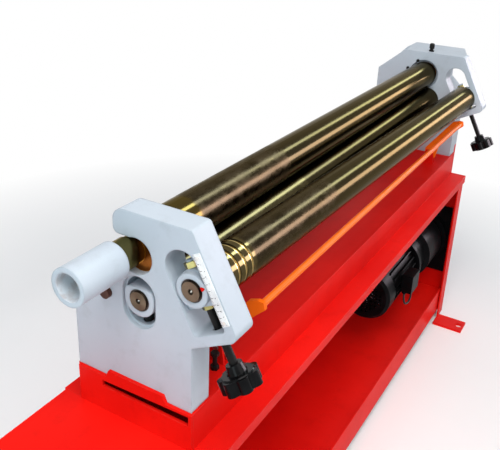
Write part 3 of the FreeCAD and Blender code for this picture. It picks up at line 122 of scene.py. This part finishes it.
# ---------------------------------------------------------------- node trees
class Graph:
    """A node tree, with short calls for the nodes that the finishes share."""

    def __init__(self, owner):
        owner.use_nodes = True
        self.tree = owner.node_tree
        self.tree.nodes.clear()
        self.place = self.add("TexCoord").outputs["Object"]

    def add(self, kind, **settings):
        node = self.tree.nodes.new("ShaderNode" + kind)
        for key, value in settings.items():
            setattr(node, key, value)
        return node

    def feed(self, socket, value):
        """Sets a number or a colour on the socket, and joins anything else to it."""
        if isinstance(value, tuple):
            socket.default_value = (*value, 1)
        elif isinstance(value, (int, float)):
            socket.default_value = value
        else:
            self.tree.links.new(value, socket)

    def coordinates(self):
        split = self.add("SeparateXYZ")
        self.feed(split.inputs[0], self.place)
        return tuple(split.outputs)

    def from_axis(self, y, z):
        """Distance from a line along X."""
        _, across, upward = self.coordinates()
        squares = [self.math("POWER", self.math("SUBTRACT", place, at), 2.0)
                   for place, at in ((across, y), (upward, z))]
        return self.math("SQRT", self.math("ADD", *squares))

    def stretched(self, *scale):
        node = self.add("Mapping")
        node.inputs["Scale"].default_value = scale
        self.feed(node.inputs["Vector"], self.place)
        return node.outputs[0]

    def noise(self, scale, detail=3.0, rough=0.5, vector=None):
        node = self.add("TexNoise")
        node.inputs["Scale"].default_value = scale
        node.inputs["Detail"].default_value = detail
        node.inputs["Roughness"].default_value = rough
        self.feed(node.inputs["Vector"], vector or self.place)
        return node.outputs["Fac"]

    def ramp(self, source, *stops):
        """Colour by the source's value; each stop is (value, colour)."""
        node = self.add("ValToRGB")
        elements = node.color_ramp.elements
        while len(elements) < len(stops):
            elements.new(0.5)
        for element, (position, color) in zip(elements, stops):
            element.position = position
            element.color = (*color, 1)
        self.feed(node.inputs["Fac"], source)
        return node.outputs["Color"]

    def spread(self, source, low, high, start=0.0, end=1.0):
        """low where the source is at start and high where it is at end."""
        node = self.add("MapRange")
        node.inputs["From Min"].default_value = start
        node.inputs["From Max"].default_value = end
        node.inputs["To Min"].default_value = low
        node.inputs["To Max"].default_value = high
        self.feed(node.inputs["Value"], source)
        return node.outputs[0]

    def math(self, kind, *values):
        node = self.add("Math", operation=kind)
        for socket, value in zip(node.inputs, values):
            self.feed(socket, value)
        return node.outputs[0]

    def between(self, source, low, high):
        """1 where the source lies between the two numbers."""
        above, below = self.math("GREATER_THAN", source, low), self.math("LESS_THAN", source, high)
        return self.math("MULTIPLY", above, below)

    def blend(self, amount, first, second, kind="MIX"):
        node = self.add("Mix", data_type="RGBA", blend_type=kind)
        color_sockets = node.inputs[6], node.inputs[7]
        for socket, value in zip((node.inputs["Factor"], *color_sockets), (amount, first, second)):
            self.feed(socket, value)
        return node.outputs[2]

    def choose(self, amount, first, second):
        """One shader where amount is 0 and the other where it is 1."""
        node = self.add("MixShader")
        for socket, value in zip(node.inputs, (amount, first, second)):
            self.feed(socket, value)
        return node.outputs[0]

    def bump(self, height, strength, distance, normal=None):
        node = self.add("Bump")
        node.inputs["Strength"].default_value = strength
        node.inputs["Distance"].default_value = distance
        self.feed(node.inputs["Height"], height)
        if normal:
            self.feed(node.inputs["Normal"], normal)
        return node.outputs[0]

    def soft_edges(self, radius):
        node = self.add("Bevel", samples=4)
        node.inputs["Radius"].default_value = radius
        return node.outputs[0]

    def edge_mask(self, radius):
        """1 on sharp edges and 0 on faces, by how far the rounded normal leans from the flat one."""
        edge, flat = 0.80, 0.99
        dot = self.add("VectorMath", operation="DOT_PRODUCT")
        self.feed(dot.inputs[0], self.soft_edges(radius))
        self.feed(dot.inputs[1], self.add("NewGeometry").outputs["Normal"])
        return self.spread(dot.outputs["Value"], 1.0, 0.0, edge, flat)


class Surface(Graph):
    """A material's node tree, with a plain shader joined to its output."""

    def __init__(self, name):
        self.material = bpy.data.materials.new(name)
        super().__init__(self.material)
        self.out = self.add("OutputMaterial")
        self.shader = self.add("BsdfPrincipled")
        self.feed(self.out.inputs["Surface"], self.shader.outputs[0])

    def finish(self, color, rough, normal=None, metallic=0.0, specular=0.5):
        self.feed(self.shader.inputs["Base Color"], color)
        self.feed(self.shader.inputs["Roughness"], rough)
        if normal:
            self.feed(self.shader.inputs["Normal"], normal)
        self.shader.inputs["Metallic"].default_value = metallic
        self.shader.inputs["Specular IOR Level"].default_value = specular
        return self.material


# ---------------------------------------------------------------- finishes
def enamel(name, color, shade, rough, worn, wear, specular, peel=0.10, edge=0.0012, bore=None):
    """Sprayed paint: faint cloudiness, orange peel, softened edges and a little wear on them.

    bore is (y, z, radius) of a hole along X, coloured lighter inside as painted light against its shade, with
    rust in it."""
    g = Surface(name)
    tint = g.ramp(g.noise(5.0, detail=4.0), (0.32, shade), (0.68, color))
    grime = g.ramp(g.noise(26.0, detail=6.0, rough=0.65), (0.30, (0.78, 0.76, 0.74)), (0.46, WHITE))
    tint = g.blend(0.35, tint, grime, "MULTIPLY")
    flakes = g.spread(g.noise(70.0, detail=4.0), 0.0, wear, 0.45, 0.62)
    tint = g.blend(g.math("MULTIPLY", g.edge_mask(edge), flakes), tint, worn)
    if bore:
        y, z, radius = bore
        inside = g.spread(g.from_axis(y, z), 1.0, 0.0, radius, radius + 0.0004)
        patches = g.spread(g.noise(55.0, detail=5.0, rough=0.6), 0.0, 0.40, 0.46, 0.66)
        # painted light: the bore's inside is coloured lighter than the paint against its shade, then real
        # rust goes on it in patches
        tint = g.blend(inside, tint, TUBE_INSIDE_PAINTED_LIGHT)
        tint = g.blend(g.math("MULTIPLY", inside, patches), tint, RUST)
    orange_peel = g.bump(g.noise(420.0, detail=2.0), peel, 0.0004, g.soft_edges(edge))
    gloss = g.spread(g.noise(14.0, detail=4.0), rough - 0.07, rough + 0.1)
    return g.finish(tint, gloss, orange_peel, specular=specular)


def zone_stops(zones, index):
    """Ramp stops for one column of the zones, each of which runs to just before the next."""
    low, high = ROLL_SPAN
    stops = []
    for zone in zones:
        spot = (zone[0] - low) / (high - low)
        value = zone[index]
        value = value if isinstance(value, tuple) else (value, value, value)
        if stops:
            stops.append((spot - 0.002, stops[-1][1]))
        stops.append((spot, value))
    return stops


def burnished_roll(name, axis, zones, grooves=()):
    """Ground steel roll, oiled and burnished: hue and polish change along X, with scuffs from sheet, a
    painted highlight in each wire groove and painted shade and highlight at the centre hole.

    axis is (y, z) of the turned near end, zones holds (x, colour, roughness, scuff) from which each finish
    starts, and grooves holds the places of the wire grooves."""
    g = Surface(name)
    x = g.coordinates()[0]
    along = g.spread(x, 0.0, 1.0, *ROLL_SPAN)
    ragged = g.spread(g.noise(30.0, vector=g.stretched(0.4, 3.0, 3.0)), -0.005, 0.005)
    along = g.math("ADD", along, ragged)
    color, rough, scuff = (g.ramp(along, *zone_stops(zones, index)) for index in (1, 2, 3))

    rings = g.noise(160.0, vector=g.stretched(1.0, 0.02, 0.02))
    streak = g.noise(20.0, detail=5.0, rough=0.6, vector=g.stretched(0.25, 4.0, 4.0))
    cloud = g.noise(26.0, detail=5.0, rough=0.6, vector=g.stretched(0.7, 1.0, 1.0))
    grain = g.noise(120.0, detail=5.0, rough=0.65, vector=g.stretched(0.5, 1.3, 1.3))
    worn = g.blend(1.0, g.ramp(cloud, (0.30, (0.55, 0.52, 0.48)), (0.66, (1.7, 1.6, 1.5))),
                   g.ramp(grain, (0.35, (0.78, 0.76, 0.73)), (0.62, (1.1, 1.1, 1.1))), "MULTIPLY")
    color = g.blend(scuff, color, g.blend(1.0, color, worn, "MULTIPLY"))
    color = g.blend(0.5, color, g.ramp(streak, (0.3, (0.72, 0.72, 0.70)), (0.7, WHITE)), "MULTIPLY")
    patchy = g.math("ADD", g.spread(grain, -0.06, 0.12, 0.35, 0.65), g.spread(cloud, -0.05, 0.10, 0.35, 0.65))
    rough = g.math("ADD", rough, g.math("MULTIPLY", scuff, patchy))

    # painted highlight: each wire groove is coloured bright for the glints in its hollow, and made a little
    # rougher
    for groove in grooves:
        away = g.math("ABSOLUTE", g.math("SUBTRACT", x, groove))
        inside = g.spread(away, 1.0, 0.0, *GROOVE_EDGE)
        color = g.blend(inside, color, GROOVE_PAINTED_HIGHLIGHT)
        rough = g.math("ADD", rough, g.math("MULTIPLY", inside, 0.16))

    # the near end face: painted shade for the centre hole with a painted highlight at its middle, and lathe
    # rings
    radius = g.from_axis(*axis)
    end_face = g.spread(x, 1.0, 0.0, *END_FACE)
    for size, shade in ((CENTRE_HOLE, HOLE_PAINTED_SHADE), (HOLE_GLINT_RADIUS, HOLE_PAINTED_HIGHLIGHT)):
        centre = g.math("MULTIPLY", end_face, g.spread(radius, 1.0, 0.0, size - 0.0005, size + 0.0005))
        color = g.blend(centre, color, shade)
    lathe_rings = g.math("MULTIPLY", end_face, g.math("SINE", g.math("MULTIPLY", radius, LATHE_RINGS)))

    scuffs = g.math("MULTIPLY", grain, g.math("MULTIPLY", scuff, 0.6))
    height = g.math("ADD", g.math("MULTIPLY", rings, 0.35), scuffs)
    height = g.math("ADD", height, g.math("MULTIPLY", lathe_rings, 0.5))
    material = g.finish(color, rough, g.bump(height, 0.10, 0.0004), metallic=1.0)

    # gloss stretches across the grinding marks, which run round the roll
    g.feed(g.shader.inputs["Tangent"], g.add("Tangent", direction_type="RADIAL", axis="X").outputs[0])
    g.shader.inputs["Anisotropic"].default_value = 0.6
    g.shader.inputs["Anisotropic Rotation"].default_value = 0.25
    g.feed(g.shader.inputs["Specular Tint"], OILED_GLOSS)
    return material


def bare_metal(name, color, rough=0.3, dirt=(0.45, 0.42, 0.38), rim=None):
    """Machined metal: dirt in blotches, fine scratches and, where rim is a colour, a painted highlight on its
    edges.
    """
    g = Surface(name)
    blotch = g.ramp(g.noise(60.0, detail=5.0, rough=0.6), (0.32, dirt), (0.62, WHITE))
    tint = g.blend(0.6, color, blotch, "MULTIPLY")
    # painted highlight: edges coloured brighter in the rim colour
    if rim:
        tint = g.blend(g.edge_mask(0.0032), tint, rim)
    scratches = g.noise(320.0, vector=g.stretched(1.0, 0.15, 0.6))
    gloss = g.spread(g.noise(40.0), rough - 0.06, rough + 0.14)
    return g.finish(tint, gloss, g.bump(scratches, 0.12, 0.0003, g.soft_edges(0.0006)), metallic=1.0)


def black_part(name, color, rough, grain=0.15, metallic=0.0, scale=260.0, specular=0.20):
    """Moulded, blackened or dull painted part: dust in patches and a fine grain of the given scale."""
    g = Surface(name)
    dusty = tuple(2.2 * channel + 0.002 for channel in color)
    tint = g.blend(g.spread(g.noise(35.0, detail=5.0), 0.0, 0.55, 0.4, 0.7), color, dusty)
    gloss = g.spread(g.noise(24.0, detail=4.0), rough - 0.05, rough + 0.12)
    return g.finish(tint, gloss, g.bump(g.noise(scale, detail=2.0), grain, 0.0004, g.soft_edges(0.0010)),
                    metallic=metallic, specular=specular)


def scale_strip(name):
    """White strip with engraved marks every 2 and 10 mm along the slot, and figures beside the long ones."""
    g = Surface(name)
    _, y, z = g.coordinates()
    z = g.math("SUBTRACT", z, AXIS_HEIGHT)
    cos, sin = math.cos(SLOT_SLOPE), math.sin(SLOT_SLOPE)
    along = g.math("ADD", g.math("MULTIPLY", y, cos), g.math("MULTIPLY", z, sin))
    across = g.math("SUBTRACT", g.math("MULTIPLY", z, cos), g.math("MULTIPLY", y, sin))
    ink = 0.0
    for pitch, line, low, high in (LONG_MARKS, SHORT_MARKS):
        mark = g.spread(g.math("PINGPONG", along, pitch / 2), 1.0, 0.0, line / 2, line)
        ink = g.math("MAXIMUM", ink, g.math("MULTIPLY", mark, g.between(across, low, high)))
    strokes = g.math("GREATER_THAN", g.noise(330.0, detail=1.0), 0.56)
    beside_long = g.spread(g.math("PINGPONG", along, LONG_MARKS[0] / 2), 1.0, 0.0, 0.0016, 0.0020)
    figures = g.math("MULTIPLY", g.math("MULTIPLY", strokes, beside_long), g.between(across, *FIGURES))
    paper = g.ramp(g.noise(30.0, detail=4.0), (0.35, (0.62, 0.62, 0.64)), (0.65, (0.80, 0.80, 0.80)))
    tint = g.blend(g.math("MAXIMUM", ink, figures), paper, INK)
    return g.finish(tint, g.spread(g.noise(60.0), 0.30, 0.45), g.soft_edges(0.0006), specular=0.4)


def frame_grey(name, bore=None):
    return enamel(name, GREY, GREY_SHADE, rough=0.42, worn=(0.38, 0.42, 0.47), wear=0.15, specular=0.16,
                  peel=0.22, edge=0.0035, bore=bore)


def make_materials():
    """One material for each slot of the record."""
    return {
        "stand_paint": enamel("stand_paint", RED, RED_SHADE, rough=0.40, worn=(0.45, 0.12, 0.09), wear=0.5,
                              specular=0.04, peel=0.12),
        "frame_paint": frame_grey("frame_paint"),
        "trip_paint": enamel("trip_paint", ORANGE, ORANGE_SHADE, rough=0.30, worn=(0.35, 0.10, 0.03),
                             wear=0.4, specular=0.04),
        "plain_steel": bare_metal("plain_steel", (0.34, 0.33, 0.31)),
        "zinc_yellow": bare_metal("zinc_yellow", (0.40, 0.34, 0.14), rough=0.26),
        # the bronze seat's edges take a painted orange highlight
        "bronze": bare_metal("bronze", (0.26, 0.085, 0.014), rough=0.28, dirt=(0.35, 0.18, 0.08),
                             rim=(0.95, 0.42, 0.07)),
        "black_steel": black_part("black_steel", (0.007, 0.0065, 0.0065), rough=0.20, specular=0.12),
        "knob_plastic": black_part("knob_plastic", (0.003, 0.003, 0.0034), rough=0.10, grain=0.03,
                                   specular=0.07),
        "motor_paint": black_part("motor_paint", (0.003, 0.003, 0.0035), rough=0.30, grain=0.30, scale=160.0,
                                  specular=0.03),
        "scale_white": scale_strip("scale_white"),
        "cable_rubber": black_part("cable_rubber", (0.015, 0.015, 0.016), rough=0.5, grain=0.2),
    }


def dress_nodes(made):
    """Gives each CAD node its slot's material, or one of its own."""
    dark_bush = bare_metal("dark_bush", (0.06, 0.05, 0.045), rough=0.35)
    own = {
        "top_roll": burnished_roll("top_roll_steel", TOP_AXIS, [
            (-0.75, (0.16, 0.135, 0.050), 0.17, 0.1),
            (-0.648, (0.075, 0.053, 0.016), 0.14, 0.1),
            (-0.556, SCUFFED, 0.25, 0.9),
            (-0.264, OLIVE, 0.17, 0.15)]),
        "bending_roll": burnished_roll("bending_roll_steel", NEAR_AXIS, [
            (-0.75, JOURNAL, 0.30, 0.2),
            (-0.648, GOLD, 0.13, 0.1),
            (-0.575, SCUFFED, 0.23, 0.8),
            (-0.285, OLIVE, 0.17, 0.15)], GROOVES),
        "pinch_roll": burnished_roll("pinch_roll_steel", PINCH_AXIS, [
            (-0.75, JOURNAL, 0.30, 0.2),
            (-0.648, (0.055, 0.045, 0.024), 0.18, 0.3),
            (-0.2, OLIVE, 0.18, 0.2)]),
        "handle_tube": frame_grey("tube_paint", bore=(*TOP_AXIS, TUBE_BORE)),
        "bending_bush_near": dark_bush,
        "pinch_bush_near": dark_bush,
        "motor_fan": black_part("fan_plastic", (0.80, 0.80, 0.80), rough=0.45, grain=0.1),
        "scale_screws": bare_metal("scale_screw_zinc", (0.78, 0.78, 0.76), rough=0.5,
                                   dirt=(0.55, 0.50, 0.45)),
        "latch_bolt": black_part("brown_bolt", (0.060, 0.022, 0.014), rough=0.30, metallic=0.4),
    }
    slot_of = {item["node"]: item["material_slot"] for item in frame["record"]["subparts"]}
    for name, node in frame["nodes"].items():
        node.data.materials.clear()
        node.data.materials.append(own.get(name) or made[slot_of[name]])


# ---------------------------------------------------------------- pieces
def make_cable(material):
    """The cable that loops from one gland of the terminal box to the other."""
    curve = bpy.data.curves.new("motor_cable_skin", "CURVE")
    curve.dimensions = "3D"
    curve.resolution_u = 24
    curve.bevel_depth = CABLE_DIAMETER / 2
    curve.bevel_resolution = 6
    curve.use_fill_caps = True
    spline = curve.splines.new("NURBS")
    spline.points.add(len(CABLE_ROUTE) - 1)
    for point, place in zip(spline.points, CABLE_ROUTE):
        point.co = (*place, 1)
    spline.order_u = 3
    spline.use_endpoint_u = True
    curve.materials.append(material)
    piece = bpy.data.objects.new("motor_cable_skin", curve)
    bpy.context.collection.objects.link(piece)
    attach(piece, "stand")
    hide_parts("motor_cable")


def make_pointer(material):
    """Small red arrow on the near bending block, pointing at the scale."""
    back, neck, tip, half_width = 0.0175, 0.0205, 0.0250, 0.0030
    thickness, softness = 0.0009, 0.0002
    block_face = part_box("bending_block_near")[0][0]
    middle = Vector((block_face, *NEAR_AXIS))
    along = Vector((0, math.cos(SLOT_SLOPE), math.sin(SLOT_SLOPE)))
    across = Vector((0, -math.sin(SLOT_SLOPE), math.cos(SLOT_SLOPE)))
    outline = [(back, -half_width), (neck, -half_width), (tip, 0.0), (neck, half_width), (back, half_width)]
    mesh = bmesh.new()
    face = mesh.faces.new([mesh.verts.new(middle + across * out + along * side) for out, side in outline])
    grown = bmesh.ops.extrude_face_region(mesh, geom=[face])["geom"]
    moved = [item for item in grown if isinstance(item, bmesh.types.BMVert)]
    bmesh.ops.translate(mesh, verts=moved, vec=(-thickness, 0, 0))
    bmesh.ops.recalc_face_normals(mesh, faces=mesh.faces)
    bmesh.ops.bevel(mesh, geom=mesh.edges[:], offset=softness, segments=2, affect="EDGES")
    data = bpy.data.meshes.new("scale_pointer")
    mesh.to_mesh(data)
    mesh.free()
    data.materials.append(material)
    piece = bpy.data.objects.new("scale_pointer", data)
    bpy.context.collection.objects.link(piece)
    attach(piece, "bending_carriage")


# ---------------------------------------------------------------- surroundings
def show_background(g):
    """1 where the white background is looked at, straight or in metal and glass."""
    path = g.add("LightPath")
    mirrored = g.math("MAXIMUM", path.outputs["Is Glossy Ray"], path.outputs["Is Transmission Ray"])
    return g.math("MAXIMUM", path.outputs["Is Camera Ray"], mirrored)


def make_world():
    """White to look at, also in metal and glass, and dim daylight on the object."""
    world = bpy.data.worlds.new("studio")
    bpy.context.scene.world = world
    g = Graph(world)
    shown = []
    for color, strength in ((DAYLIGHT, DAYLIGHT_STRENGTH), (WHITE, 1.0)):
        background = g.add("Background")
        g.feed(background.inputs["Color"], color)
        g.feed(background.inputs["Strength"], strength)
        shown.append(background.outputs[0])
    g.feed(g.add("OutputWorld").inputs["Surface"], g.choose(show_background(g), *shown))


def make_floor():
    """Pale paper that keeps the shadow near the object and turns to plain white farther out."""
    half, fade_start, fade_end = 12.0, 1.1, 2.0
    mesh = bpy.data.meshes.new("floor")
    corners = [(-half, -half, 0), (half, -half, 0), (half, half, 0), (-half, half, 0)]
    mesh.from_pydata(corners, [], [(0, 1, 2, 3)])
    floor = bpy.data.objects.new("floor", mesh)
    bpy.context.collection.objects.link(floor)
    g = Surface("floor_paper")
    paper = g.ramp(g.noise(2.0), (0.3, (0.93, 0.93, 0.93)), (0.7, (0.96, 0.96, 0.96)))
    g.finish(paper, 0.9, specular=0.0)
    distance = g.add("VectorMath", operation="LENGTH")
    g.feed(distance.inputs[0], g.place)
    fade = g.spread(distance.outputs["Value"], 0.0, 1.0, fade_start, fade_end)
    white = g.add("Emission").outputs[0]
    seen = g.math("MULTIPLY", fade, show_background(g))
    g.feed(g.out.inputs["Surface"], g.choose(seen, g.shader.outputs[0], white))
    mesh.materials.append(g.material)


def area_light(name, at, towards, size, power, color=WHITE):
    data = bpy.data.lights.new(name, "AREA")
    data.shape = "RECTANGLE"
    data.size, data.size_y = size
    data.energy = power
    data.color = color
    light = bpy.data.objects.new(name, data)
    light.location = at
    light.rotation_euler = (Vector(towards) - Vector(at)).to_track_quat("-Z", "Y").to_euler()
    bpy.context.collection.objects.link(light)
    return light


def gloss_lamp(*settings):
    """A lamp that only shows in metal and gloss."""
    lamp = area_light(*settings)
    lamp.visible_diffuse = False
    lamp.visible_camera = False


def strip_lamp(name, degrees, width, power, color):
    """Long gloss lamp along the rolls, so many degrees above the operator's horizon."""
    middle, height, away, length = 4.8, 0.79, 2.5, 8.0
    up, out = math.sin(math.radians(degrees)), math.cos(math.radians(degrees))
    at = (middle, -away * out, height + away * up)
    gloss_lamp(name, at, (middle, 0, height), (length, width), power, color)


def make_lights():
    """Soft light from overhead, the operator's side and the near end, and lamps for the rolls to mirror."""
    area_light("overhead", (-1.3, -0.9, 3.3), (0, 0, 0.5), (2.4, 2.0), 95, LAMP_WHITE)
    area_light("fill", (-0.6, -3.4, 2.0), (0.1, 0, 0.5), (2.6, 1.4), 22, LAMP_WHITE)
    area_light("near_fill", (-2.1, -0.35, 1.15), (-0.7, 0, 0.72), (0.8, 0.8), 8.5, (0.76, 0.97, 1.0))
    gloss_lamp("ends_lamp", (-1.55, 0.42, 0.12), (-0.70, -0.05, 0.76), (0.16, 0.05), 0.6)
    strip_lamp("upper_strip", 74, 0.65, 290, (0.82, 1.0, 1.0))
    strip_lamp("lower_strip", 16, 0.95, 400, (1.0, 0.88, 0.98))


make_camera()
made = make_materials()
make_cable(made["cable_rubber"])
make_pointer(made["stand_paint"])
dress_nodes(made)
make_world()
make_lights()
make_floor()

bpy.context.scene.view_settings.view_transform = "Standard"
